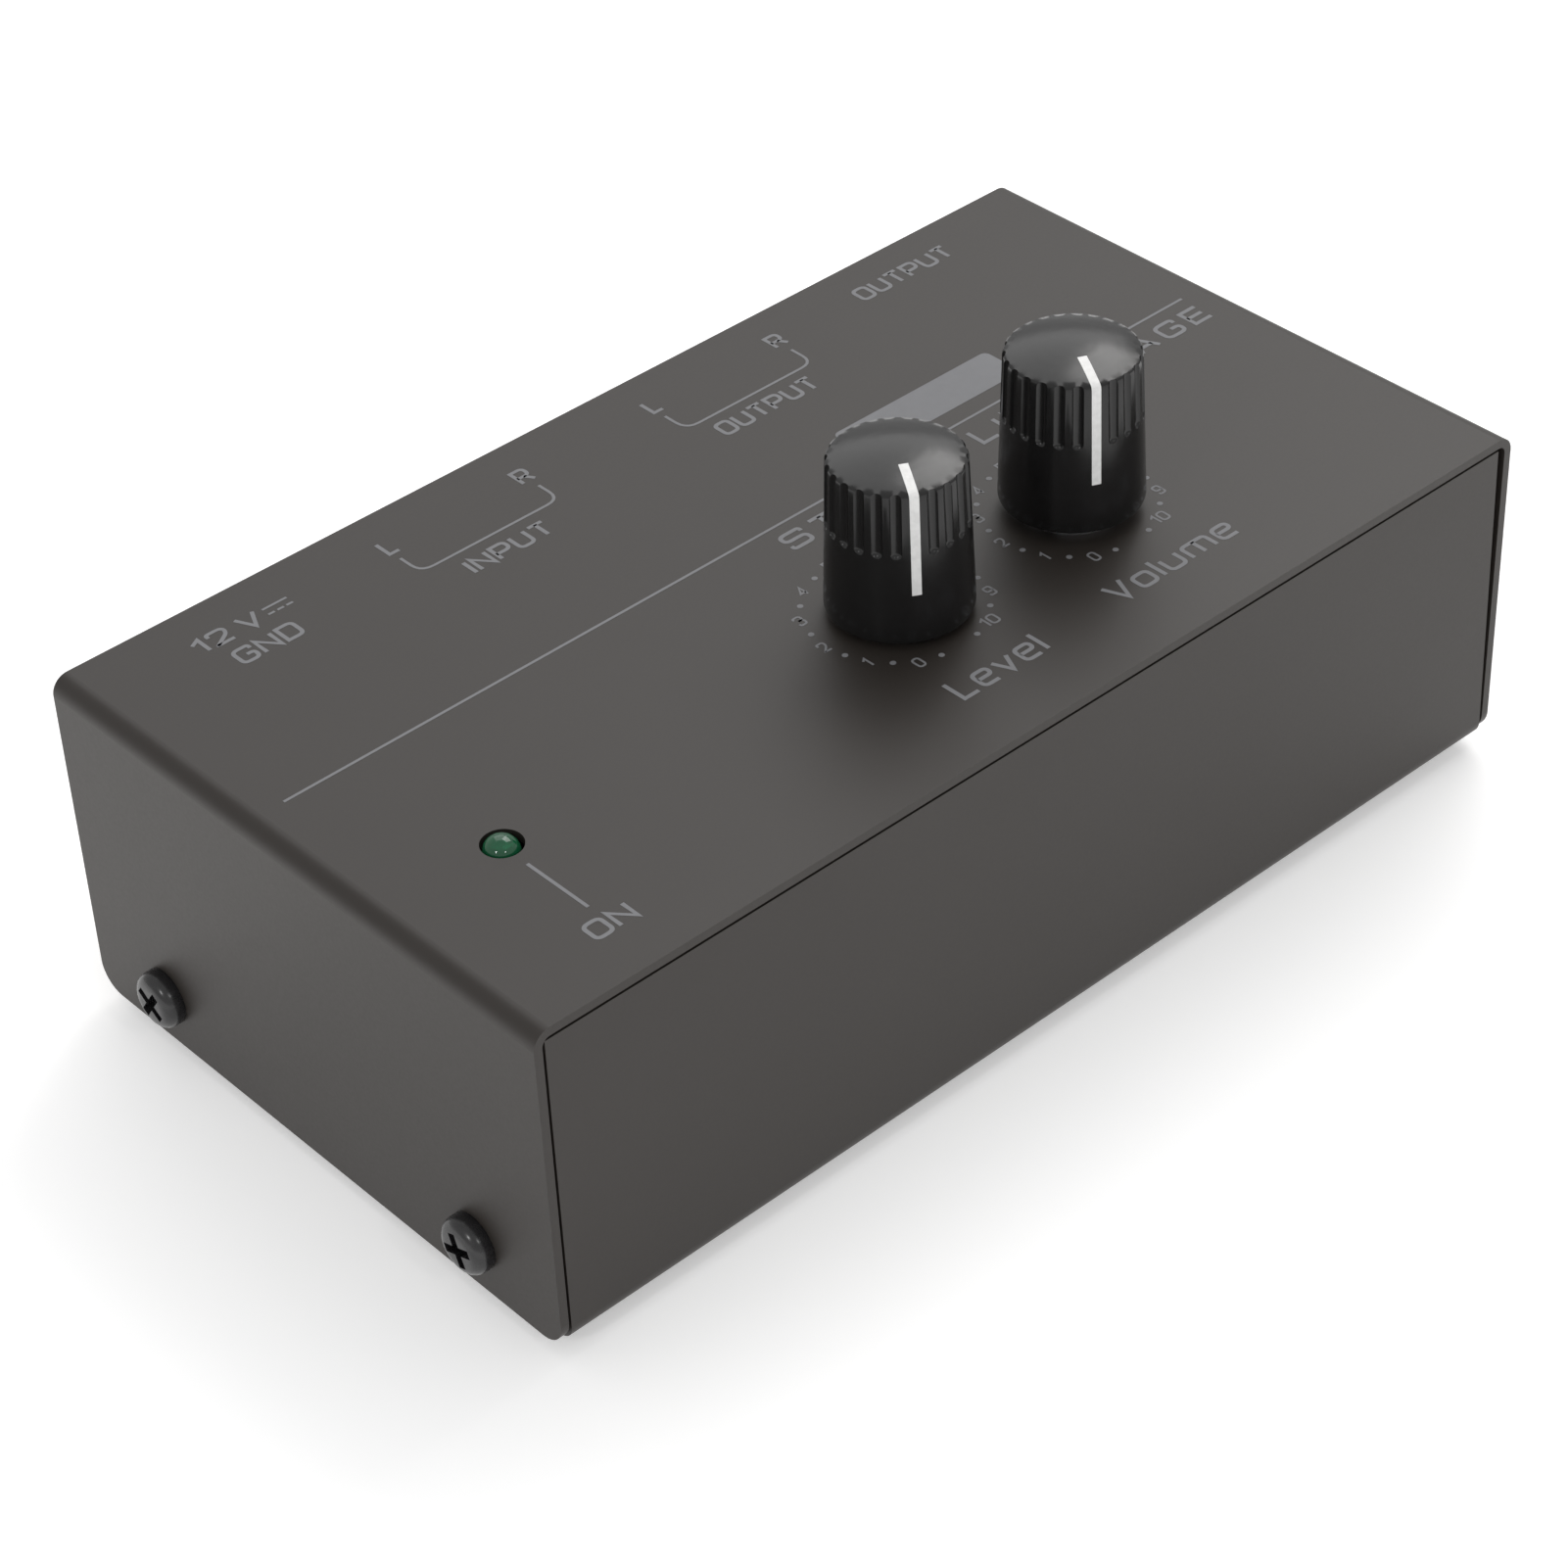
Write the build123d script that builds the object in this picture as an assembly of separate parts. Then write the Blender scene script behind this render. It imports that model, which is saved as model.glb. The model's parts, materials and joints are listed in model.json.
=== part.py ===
from build123d import *
import math
import os

os.makedirs("parts", exist_ok=True)

# ---------------------------------------------------------------- dimensions
# All in millimetres.  Working axes while modelling: x from the left end,
# y from the front face, z from the underside of the case.  Every part is
# shifted to the row frame in save().
case_l, case_d, case_h = 135.0, 75.0, 40.0
sheet = 1.0                      # steel sheet
cover_bend_r = 2.0               # outside bend radius, cover
base_bend_r = 2.2                # outside bend radius, chassis
flap_corner_r = 3.0
panel_top_gap = 0.3              # front/rear panel below the cover sheet
panel_side_gap = 0.3

foot_h, foot_r = 2.0, 5.0
foot_xy = [(18.0, 12.0), (117.0, 12.0), (18.0, 63.0), (117.0, 63.0)]

screw_y, screw_z = (12.5, 62.5), 6.0
screw_head_r, screw_head_h = 3.2, 2.25
m3_r = 1.5

board_z0, board_t = 6.0, 1.6
board_x0, board_x1, board_y0, board_y1 = 5.6, 129.4, 7.0, 72.0
board_top = board_z0 + board_t
post_xy = [(9.5, 12.0), (125.5, 12.0), (9.5, 66.0), (125.5, 66.0)]

ctl_z0, ctl_t = 26.6, 1.6
ctl_top = ctl_z0 + ctl_t
ctl_x0, ctl_x1, ctl_y0, ctl_y1 = 9.0, 104.0, 12.0, 35.5

knob_h = 18.4
knob_flutes = 24
level_xy, level_gap, level_deg = (68.1, 23.7), 0.8, -120.0
volume_xy, volume_gap, volume_deg = (93.1, 24.0), 1.5, -116.5
shaft_r, bushing_r = 3.0, 3.5
shaft_top = 55.5

led_hole_xy, led_hole_r = (15.5, 23.0), 2.2
led_xy, led_r, led_top = (15.40, 23.08), 1.95, 40.85

inlet_x, inlet_z = 18.5, 28.0
gnd_x, gnd_z = 18.5, 13.5
rca_z = 16.0
rca_in_x = (37.7, 56.5)
rca_out_x = (74.3, 93.2)
rca_shell_r, rca_reach = 4.15, 9.3
phones_x, phones_z = 112.7, 16.0
stud_r, stud_reach = 2.0, 13.5

rear_reach = stud_reach          # furthest thing behind the rear panel
PLACE = Location((-case_l / 2, -(case_d + rear_reach) / 2, foot_h))


# ------------------------------------------------------------------- helpers
def box(x0, x1, y0, y1, z0, z1):
    return Pos((x0 + x1) / 2, (y0 + y1) / 2, (z0 + z1) / 2) * Box(x1 - x0, y1 - y0, z1 - z0)


def cz(x, y, z0, z1, r):
    return Pos(x, y, (z0 + z1) / 2) * Cylinder(r, z1 - z0)


def cy(x, z, y0, y1, r):
    return Pos(x, (y0 + y1) / 2, z) * Rot(90, 0, 0) * Cylinder(r, y1 - y0)


def cx(y, z, x0, x1, r):
    return Pos((x0 + x1) / 2, y, z) * Rot(0, 90, 0) * Cylinder(r, x1 - x0)


def hex_z(x, y, z0, z1, flats):
    return Pos(x, y, z0) * extrude(RegularPolygon(flats / 2, 6, major_radius=False), z1 - z0)


def hex_y(x, z, y0, y1, flats):
    return Pos(x, y0, z) * Rot(-90, 0, 0) * extrude(RegularPolygon(flats / 2, 6, major_radius=False), y1 - y0)


def lathe(points):
    """Solid of revolution about Z from (radius, height) points."""
    face = make_face(Polyline(*[(r, 0, h) for r, h in points], close=True))
    return revolve(face, Axis.Z)


def save(name, *shapes):
    solids = []
    for s in shapes:
        solids += list((PLACE * s).solids())
    export_step(solids[0] if len(solids) == 1 else Compound(children=solids), f"parts/{name}.step")
    print(f"{name:26s} {len(solids)} solid(s)")


def arc_points(cx_, cy_, r, a0, a1, n):
    return [(cx_ + r * math.cos(math.radians(a0 + (a1 - a0) * i / n)),
             cy_ + r * math.sin(math.radians(a0 + (a1 - a0) * i / n))) for i in range(n + 1)]


# ------------------------------------------------------- case: cover, chassis
def u_channel(width, height, r_out, t):
    """U profile (open downwards) in the XY sketch plane, legs along -Y."""
    outer = Pos(width / 2, -height / 2) * Rectangle(width, height)
    outer = fillet(outer.vertices().group_by(Axis.Y)[-1], r_out)
    inner = Pos(width / 2, -(height + t) / 2 - 5) * Rectangle(width - 2 * t, height - t + 10)
    inner = fillet(inner.vertices().group_by(Axis.Y)[-1], r_out - t)
    return outer - inner


# cover: top sheet and the two end flaps
cover = Pos(0, case_d, case_h) * Rot(90, 0, 0) * extrude(u_channel(case_l, case_h, cover_bend_r, sheet), case_d)
cover = fillet([e for e in cover.edges().filter_by(Axis.X) if e.center().Z < 0.5], flap_corner_r)
for kx, ky in (level_xy, volume_xy):
    cover -= cz(kx, ky, 38, 41, bushing_r + 0.1)
cover -= cz(*led_hole_xy, 38, 41, led_hole_r)
for sy in screw_y:
    cover -= cx(sy, screw_z, -1, 2, m3_r + 0.2)
    cover -= cx(sy, screw_z, case_l - 2, case_l + 1, m3_r + 0.2)
save("top_cover", cover)

# chassis: bottom, front and rear in one bent sheet
panel_h = case_h - sheet - panel_top_gap
cx0, cx1 = sheet + panel_side_gap, case_l - sheet - panel_side_gap
profile = u_channel(case_d, panel_h, base_bend_r, sheet)
chassis = extrude(profile, cx1 - cx0)
# sketch x -> y, sketch -y -> z, extrusion -> x
chassis = Pos(cx0, 0, 0) * Rot(0, 90, 0) * Rot(0, 0, 90) * chassis
chassis = mirror(chassis, Plane.XY)
bb = chassis.bounding_box()
chassis = Pos(cx0 - bb.min.X, -bb.min.Y, -bb.min.Z) * chassis
# front panel edge leans away from the right-hand flap towards the top
lean = Pos(0, -1, 0) * Rot(-90, 0, 0) * extrude(
    make_face(Polyline((cx1 + 1, 0), (cx1, 0), (cx1 - 0.8, -panel_h - 1), (cx1 + 1, -panel_h - 1), close=True)), 3.0)
chassis -= lean
for end in (0, 1):
    for sy in screw_y:
        xe, xi = (cx0 - 0.01, cx0 + 2.2) if end == 0 else (cx1 - 2.2, cx1 + 0.01)
        chassis -= box(xe, xi, sy - 6.0, sy + 6.0, -0.1, 1.1)
        # bent-up tab, lying against the inside of the flap
        tab = make_face(Polyline((1.0, 11.0), (1.0, 1.5), *arc_points(2.5, 1.5, 1.5, 180, 270, 6)[1:],
                                 (4.0, 0.0), (4.0, 1.0), *arc_points(2.5, 1.5, 0.5, 270, 180, 4),
                                 (2.0, 11.0), close=True))
        tab = Pos(0, sy + 5.0, 0) * Rot(90, 0, 0) * extrude(tab, 10.0)
        if end == 1:
            tab = mirror(tab, Plane.YZ.offset(case_l / 2))
        chassis += tab
        chassis -= cx(sy, screw_z, 0, 3, m3_r) if end == 0 else cx(sy, screw_z, case_l - 3, case_l, m3_r)
for px, py in post_xy:
    chassis -= cz(px, py, -1, 2, 2.1)
yr0, yr1 = case_d - sheet - 1, case_d + 1
chassis -= cy(inlet_x, inlet_z, yr0, yr1, 5.5)
chassis -= cy(gnd_x, gnd_z, yr0, yr1, stud_r + 0.1)
for rx in rca_in_x + rca_out_x:
    chassis -= cy(rx, rca_z, yr0, yr1, 4.5)
chassis -= cy(phones_x, phones_z, yr0, yr1, 4.85)
save("base_chassis", chassis)


# ------------------------------------------------------------ screws and feet
def pan_screw(r_head, h_head, r_shank, length, slot_w=1.0):
    """Cross-recess screw along +Z: head from 0 upwards, shank downwards."""
    pts = [(0, -length), (r_shank - 0.25, -length), (r_shank, -length + 0.3), (r_shank, 0),
           (r_head - 0.05, 0), (r_head, 0.12), (r_head, 0.42 * h_head)]
    pts += [(r_head - 0.42 * r_head * (1 - math.cos(a)) - 0.0, 0.42 * h_head + 0.58 * h_head * math.sin(a))
            for a in (0.35, 0.7, 1.05, 1.4)]
    pts += [(0.35 * r_head, h_head), (0, h_head)]
    s = lathe(pts)
    for a in (0, 90):
        cutter = Rot(0, 0, a) * Pos(0, 0, h_head) * Box(0.62 * 2 * r_head, slot_w, 2 * 0.55 * h_head)
        s -= cutter
    return s


side_screw = pan_screw(screw_head_r, screw_head_h, m3_r - 0.02, 5.0)
screws = []
for sy, turn in zip(screw_y, (20, 55)):
    screws.append(Pos(0, sy, screw_z) * Rot(0, -90, 0) * Rot(0, 0, turn) * side_screw)
    screws.append(Pos(case_l, sy, screw_z) * Rot(0, 90, 0) * Rot(0, 0, turn + 17) * side_screw)
save("cover_screws", *screws)

foot = lathe([(0, 0), (foot_r, 0), (foot_r - 0.15, -foot_h + 0.5), (foot_r - 0.7, -foot_h), (0, -foot_h)])
save("rubber_feet", *[Pos(fx, fy, 0) * foot for fx, fy in foot_xy])

# ------------------------------------------------------- main board and posts
main = box(board_x0, board_x1, board_y0, board_y1, board_z0, board_top)
for px, py in post_xy:
    main -= cz(px, py, 5, 9, m3_r + 0.1)
for tx, ty, hx, hy in [(x, 60.3, 1.0, 0.4) for x in rca_in_x + rca_out_x] + \
        [(phones_x + dx, dy, 0.7, 0.45) for dx, dy in ((-6.4, 52.0), (6.4, 52.0), (-6.4, 64.0), (6.4, 64.0), (0.0, 70.0))]:
    main -= box(tx - hx, tx + hx, ty - hy, ty + hy, 5, 9)
save("main_board", main)

posts = []
for px, py in post_xy:
    p = hex_z(px, py, sheet, board_z0, 5.5) + cz(px, py, 0, sheet, 2.1)
    posts.append(p - cz(px, py, sheet + 0.6, board_z0 + 1, m3_r))
save("board_posts", *posts)

board_screw = pan_screw(2.75, 1.9, m3_r - 0.02, 5.4, 0.8)
save("board_screws", *[Pos(px, py, board_top) * Rot(0, 0, 31 * i) * board_screw for i, (px, py) in enumerate(post_xy)])

# ---------------------------------------------------------------- control board
ctl = box(ctl_x0, ctl_x1, ctl_y0, ctl_y1, ctl_z0, ctl_top)
pin_dx, pin_dy = (-2.5, 0.0, 2.5), (-2.6, 2.6)
for kx, ky in (level_xy, volume_xy):
    for dx in pin_dx:
        for dy in pin_dy:
            ctl -= cz(kx + dx, ky + dy, 26, 29, 0.62)
for s in (-1, 1):
    ctl -= cz(led_xy[0] + s * 1.27, led_xy[1], 26, 29, 0.45)
save("control_board", ctl)


# ---------------------------------------------------------- potentiometers
def pot(name, xy):
    px, py = xy
    frame_ = box(px - 4.9, px + 4.9, py - 5.5, py + 5.5, 38.0, 39.0)
    frame_ += cz(px, py, 39.0, 46.0, bushing_r)
    frame_ = frame_ - cz(px, py, 37, 47, shaft_r + 0.05)
    save(f"{name}_pot_bushing", frame_)
    body = box(px - 4.9, px + 4.9, py - 5.5, py + 5.5, 29.4, 38.0)
    body -= cz(px, py, 29.0, 37.2, 4.3)
    body -= cz(px, py, 37.0, 39.0, shaft_r + 0.3)
    save(f"{name}_pot_case", body)
    save(f"{name}_pot_wafer", box(px - 4.9, px + 4.9, py - 5.5, py + 5.5, ctl_top, 29.4))
    shaft = cz(px, py, 31.2, 36.9, 4.0) + lathe_at(px, py, [(0, 36.0), (shaft_r, 36.0), (shaft_r, shaft_top - 0.5),
                                                         (shaft_r - 0.5, shaft_top), (0, shaft_top)])
    shaft -= box(px - 4, px + 4, py - 0.5, py + 0.5, shaft_top - 6.0, shaft_top + 1)
    save(f"{name}_shaft", shaft)
    ring = cz(px, py, 30.7, 31.2, 3.6) - cz(px, py, 30, 32, 2.4)
    ring += box(px - 3.3, px - 2.5, py - 0.6, py + 0.6, 29.8, 30.7)
    ring += box(px + 2.5, px + 3.3, py - 0.6, py + 0.6, 29.8, 30.7)
    save(f"{name}_wiper", ring)
    return [box(px + dx - 0.4, px + dx + 0.4, py + dy - 0.3, py + dy + 0.3, 24.9, ctl_top)
            for dx in pin_dx for dy in pin_dy]


def lathe_at(px, py, pts):
    return Pos(px, py, 0) * lathe(pts)


pins = pot("level", level_xy) + pot("volume", volume_xy)
save("pot_pins", *pins)
save("pot_washers", *[cz(kx, ky, 40.0, 40.5, 5.6) - cz(kx, ky, 39.9, 40.6, bushing_r + 0.1)
                      for kx, ky in (level_xy, volume_xy)])
save("pot_nuts", *[hex_z(kx, ky, 40.5, 42.5, 10.0) - cz(kx, ky, 40, 43, bushing_r)
                   for kx, ky in (level_xy, volume_xy)])


# ------------------------------------------------------------------- knobs
shoulder_h, shoulder_r, skirt_r = 17.4, 7.15, 7.72


def dome(off):
    """Outer skin of the knob, moved inwards by off."""
    pts = [(0, 0.0), (skirt_r - 0.35 - off, 0.0), (skirt_r - 0.1 - off, 0.12), (skirt_r - off, 0.45)]
    pts += [(shoulder_r + 0.02 - off, shoulder_h - 0.45 - off), (shoulder_r - 0.08 - off, shoulder_h - 0.15 - off),
            (shoulder_r - 0.3 - off, shoulder_h + 0.03 - off)]
    for t in (0.8, 0.6, 0.4, 0.2, 0.0):
        r = (shoulder_r - 0.3 - off) * t
        pts.append((r, knob_h - off - (knob_h - shoulder_h - 0.03) * t * t))
    return pts


def knob(name, xy, gap, deg):
    z0 = case_h + gap
    body = lathe(dome(0.0))
    strip = box(2.7, 9.0, -0.5, 0.5, 5.8, 20.0)
    pointer = (body - lathe(dome(0.4))) & strip
    body -= box(2.7, 9.0, -0.5, 0.5, 5.8, 20.0) & (lathe(dome(0.0)) - lathe(dome(0.4)))
    # moulding hollow: open skirt, then a ring pocket round the hub
    body -= cz(0, 0, -1, 5.9, 6.2)
    body -= cz(0, 0, 5.8, 15.5, 6.2) - cz(0, 0, 5.7, 15.6, 4.7)
    body -= cz(0, 0, 5.0, 15.0, shaft_r + 0.02)
    lean_deg = math.degrees(math.atan2(skirt_r - shoulder_r, shoulder_h - 0.45))
    flute = Pos(skirt_r + 0.37, 0, 0.45) * Rot(0, -lean_deg, 0) * (
        cz(0, 0, 10.3, 20.0, 0.72) + Pos(0, 0, 10.3) * Sphere(0.72))
    cutters = [Rot(0, 0, i * 360.0 / knob_flutes) * flute for i in range(1, knob_flutes)]
    body -= cutters
    at = Pos(xy[0], xy[1], z0) * Rot(0, 0, deg)
    save(f"{name}_knob", at * body)
    save(f"{name}_pointer", at * pointer)


knob("level", level_xy, level_gap, level_deg)
knob("volume", volume_xy, volume_gap, volume_deg)

# -------------------------------------------------------------- indicator LED
lx, ly = led_xy
lens_pts = [(0, 34.6), (2.35, 34.6), (2.35, 35.5), (led_r, 35.5), (led_r, led_top - led_r)]
lens_pts += [(r, z) for r, z in arc_points(0, led_top - led_r, led_r, 0, 90, 8)[1:]]
save("led_lens", lathe_at(lx, ly, lens_pts))
save("led_leads", *[box(lx + s * 1.27 - 0.25, lx + s * 1.27 + 0.25, ly - 0.25, ly + 0.25, 25.2, 34.6) for s in (-1, 1)])

# ------------------------------------------------------------ DC power inlet
# panel socket: flange outside, threaded barrel through the panel, nut inside
body = cy(inlet_x, inlet_z, 62.0, case_d, 5.4) + cy(inlet_x, inlet_z, case_d, case_d + 1.4, 6.3)
body = chamfer([e for e in body.edges().filter_by(GeomType.CIRCLE) if e.center().Y > case_d + 1.0 and e.radius > 6], 0.4)
body -= cy(inlet_x, inlet_z, 66.0, case_d + 2, 3.2)
body -= cy(inlet_x, inlet_z, 61.0, 67.0, 1.3)
save("dc_inlet_body", body)
save("dc_inlet_nut", hex_y(inlet_x, inlet_z, 71.4, 74.0, 14.0) - cy(inlet_x, inlet_z, 70, 75, 5.4))
pin_pts = [(0, 0), (1.3, 0), (1.3, 8.3), (1.05, 8.3), (1.05, 16.4), (0.75, 16.9), (0, 16.9)]
save("dc_inlet_pin", Pos(inlet_x, 58.0, inlet_z) * Rot(-90, 0, 0) * lathe(pin_pts))
tab_x = inlet_x + 3.6
save("dc_inlet_tab", box(tab_x - 0.3, tab_x + 0.3, 57.4, 62.0, inlet_z - 1.1, inlet_z + 1.1))

# ------------------------------------------------------------ ground terminal
y_out = case_d
stud = cy(gnd_x, gnd_z, 68.5, case_d + stud_reach, stud_r) + cy(gnd_x, gnd_z, y_out, y_out + 1.2, 4.6)
save("ground_stud", stud)
save("ground_washer", cy(gnd_x, gnd_z, y_out + 1.5, y_out + 2.3, 4.4) - cy(gnd_x, gnd_z, 70, 90, stud_r + 0.06))
nut_y0, nut_y1, nut_r = y_out + 2.6, y_out + 9.6, 4.9
nut = Pos(gnd_x, nut_y0, gnd_z) * Rot(-90, 0, 0) * lathe(
    [(0, 0), (3.6, 0), (3.9, 0.3), (3.9, 1.0), (nut_r - 0.4, 1.4), (nut_r, 1.8), (nut_r, 6.5), (nut_r - 0.5, 7.0), (0, 7.0)])
nut -= cy(gnd_x, gnd_z, 70, 95, stud_r + 0.06)
nut -= [Pos(gnd_x + (nut_r + 0.22) * math.cos(math.radians(a)), nut_y0 + 1.2 + 3.3, gnd_z + (nut_r + 0.22) * math.sin(math.radians(a)))
        * Rot(90, 0, 0) * Cylinder(0.42, 6.4) for a in range(0, 360, 15)]
save("ground_thumb_nut", nut)
save("ground_locknut", hex_y(gnd_x, gnd_z, 70.6, 73.4, 7.0) - cy(gnd_x, gnd_z, 70, 75, stud_r))
lug = (cy(gnd_x, gnd_z, 73.4, 74.0, 3.6) + box(gnd_x, gnd_x + 8.2, 73.4, 74.0, gnd_z - 1.3, gnd_z + 1.3)) - cy(gnd_x, gnd_z, 73, 75, stud_r + 0.1)
save("ground_lug", lug)
wx = gnd_x + 7.4
wire_path = FilletPolyline((wx, 73.4, gnd_z), (wx, 70.6, gnd_z), (wx, 70.6, board_top), radius=1.6)
wire = sweep(Plane(origin=(wx, 73.4, gnd_z), z_dir=(0, -1, 0)) * Circle(0.65), path=wire_path)
feeds = []
for fx, fy in ((inlet_x, 58.0), (tab_x, 57.4)):
    feed_path = FilletPolyline((fx, fy, inlet_z), (fx, fy - 3.2, inlet_z), (fx, fy - 3.2, board_top), radius=2.0)
    feeds.append(sweep(Plane(origin=(fx, fy, inlet_z), z_dir=(0, -1, 0)) * Circle(0.7), path=feed_path))
save("hook_up_wires", wire, *feeds)


# -------------------------------------------------------------- phono sockets
rca_y0, rca_y1 = 60.5, case_d - sheet


def rca_block(name, xs):
    b = box(xs[0] - 5.4, xs[1] + 5.4, rca_y0, rca_y1, board_top, 22.4)
    for x in xs:
        b -= cy(x, rca_z, 66.0, 80.0, rca_shell_r - 0.25)
        b -= cy(x, rca_z, 62.5, 67.0, 2.05)
        b -= cy(x, rca_z, 60.0, 63.0, 0.8)
    save(name, b)


rca_block("input_socket_block", rca_in_x)
rca_block("output_socket_block", rca_out_x)
tip_y = case_d + rca_reach
shells, white, red, centres = [], [], [], []
for i, x in enumerate(rca_in_x + rca_out_x):
    sh = Pos(x, 66.0, rca_z) * Rot(-90, 0, 0) * lathe(
        [(3.4, 0), (rca_shell_r - 0.25, 0), (rca_shell_r - 0.25, 9.3), (rca_shell_r, 9.3), (rca_shell_r, tip_y - 66.4),
         (rca_shell_r - 0.4, tip_y - 66.0), (3.4, tip_y - 66.0)])
    shells.append(sh)
    ins = cy(x, rca_z, 66.0, tip_y - 1.4, 3.4) - cy(x, rca_z, 60.0, 90.0, 2.05)
    (white if i % 2 == 0 else red).append(ins)
    tube = cy(x, rca_z, 62.5, tip_y - 1.8, 2.05) - cy(x, rca_z, 66.5, 90.0, 1.62)
    tube += cy(x, rca_z, rca_y0 - 0.2, 63.0, 0.8) + box(x - 0.8, x + 0.8, rca_y0 - 0.4, rca_y0, 4.7, 17.0)
    centres.append(tube)
save("phono_shells", *shells)
save("phono_insulators_white", *white)
save("phono_insulators_red", *red)
save("phono_centre_contacts", *centres)

# --------------------------------------------------------------- 6.35 mm jack
jy0 = 48.6
jack = box(phones_x - 8.2, phones_x + 8.2, jy0, case_d - sheet, board_top, 24.6)
jack -= cy(phones_x, phones_z, jy0 + 1.2, 80.0, 3.25)
# side galleries for the spring contacts
jack -= box(phones_x - 7.0, phones_x - 3.0, 52.0, 70.0, 13.0, 19.0)
jack -= box(phones_x + 3.0, phones_x + 7.0, 52.0, 70.0, 13.0, 19.0)
nose = Pos(phones_x, case_d - sheet, phones_z) * Rot(-90, 0, 0) * lathe(
    [(3.25, 0), (4.75, 0), (4.75, 6.6), (4.3, 7.0), (3.25, 7.0)])
save("phones_jack_body", jack + nose)
save("phones_jack_washer", cy(phones_x, phones_z, 75.0, 75.6, 7.0) - cy(phones_x, phones_z, 74.5, 76, 4.85))
save("phones_jack_nut", hex_y(phones_x, phones_z, 75.6, 78.1, 12.7) - cy(phones_x, phones_z, 75, 79, 4.75))


def spring(sign, y_tip):
    x_in, x_out = phones_x + sign * 3.35, phones_x + sign * 6.6
    pts = [(x_out, 53.0), (x_out, 68.6), (phones_x + sign * 5.6, 68.6), (x_in, y_tip), (phones_x + sign * 5.0, y_tip - 4.0)]
    offs = [(x_out - sign * 0.35, 53.0), (x_out - sign * 0.35, 68.2), (phones_x + sign * 5.75, 68.2),
            (x_in + sign * 0.4, y_tip), (phones_x + sign * 5.25, y_tip - 3.8)]
    face = make_face(Polyline(*[(x, y) for x, y in pts + offs[::-1]], close=True))
    return Pos(0, 0, 14.3) * extrude(face, 3.4)


save("phones_jack_contacts", spring(-1, 64.0), spring(1, 60.5))
save("phones_jack_pins", *[box(phones_x + dx - 0.5, phones_x + dx + 0.5, dy - 0.25, dy + 0.25, 4.6, board_top)
                           for dx, dy in ((-6.4, 52.0), (6.4, 52.0), (-6.4, 64.0), (6.4, 64.0), (0.0, 70.0))])


# --------------------------------------------------------- board components
def can(x, y, r, h):
    z0 = board_top + 0.2
    return lathe_at(x, y, [(0, z0), (r - 0.3, z0), (r, z0 + 0.3), (r, z0 + 1.2), (r - 0.35, z0 + 1.6), (r, z0 + 2.0),
                           (r, z0 + h - 0.5), (r - 0.5, z0 + h), (0, z0 + h)])


save("reservoir_capacitors", can(12.0, 46.0, 5.0, 20.0), can(24.5, 46.0, 5.0, 20.0))
small_cans = [(34.0, 26.0), (42.0, 26.0), (50.0, 20.0), (78.0, 26.0), (86.0, 20.0), (102.0, 26.0), (70.0, 42.0), (100.0, 42.0)]
save("signal_capacitors", *[can(x, y, 3.15, 11.0) for x, y in small_cans])
film = [(36.0, 52.0), (58.0, 52.0), (76.0, 52.0), (94.0, 52.0)]
save("film_capacitors", *[box(x - 4.5, x + 4.5, y - 2.2, y + 2.2, board_top, board_top + 9.0) for x, y in film])


def dip8(x, y):
    z = board_top + 3.6
    chip = box(x - 4.9, x + 4.9, y - 3.2, y + 3.2, z, z + 3.4)
    chip -= cz(x - 4.9, y, z + 2.6, z + 4, 0.8)
    legs = [box(x + dx - 0.3, x + dx + 0.3, y + s * 3.2 - (0.3 if s < 0 else 0), y + s * 3.2 + (0.3 if s > 0 else 0), z, z + 1.9)
            for dx in (-3.81, -1.27, 1.27, 3.81) for s in (-1, 1)]
    sock = box(x - 5.1, x + 5.1, y - 5.0, y + 5.0, board_top, z) - box(x - 3.6, x + 3.6, y - 2.0, y + 2.0, 7, z + 1)
    return chip, legs, sock


chips, legs, socks = [], [], []
for x, y in ((47.0, 50.0), (85.0, 41.0)):
    c, l, s = dip8(x, y)
    chips.append(c)
    legs += l
    socks.append(s)
save("amplifier_chips", *chips)
save("amplifier_chip_legs", *legs)
save("chip_sockets", *socks)

rx, ry = 27.0, 34.0
reg = box(rx - 5.0, rx + 5.0, ry - 1.6, ry + 1.6, board_top + 4.0, board_top + 13.0)
tab = box(rx - 5.0, rx + 5.0, ry + 1.6, ry + 2.9, board_top + 4.0, board_top + 18.0) - cy(rx, board_top + 15.6, 30, 40, 1.8)
save("voltage_regulator", reg)
save("regulator_leadframe", tab, *[box(rx + dx - 0.4, rx + dx + 0.4, ry - 0.25, ry + 0.25, board_top, board_top + 4.0) for dx in (-2.54, 0, 2.54)])

res = []
for x, y in ((32, 14), (40, 14), (48, 12), (56, 16), (64, 14), (72, 16), (80, 13), (88, 14), (96, 16), (104, 14), (112, 20), (112, 28)):
    r_ = cx(y, board_top + 1.4, x - 3.1, x + 3.1, 1.15) + cx(y, board_top + 1.4, x - 4.6, x + 4.6, 0.3)
    for s in (-1, 1):
        r_ += cz(x + s * 4.4, y, board_top, board_top + 1.5, 0.3)
    res.append(r_)
save("resistors", *res)

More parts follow.
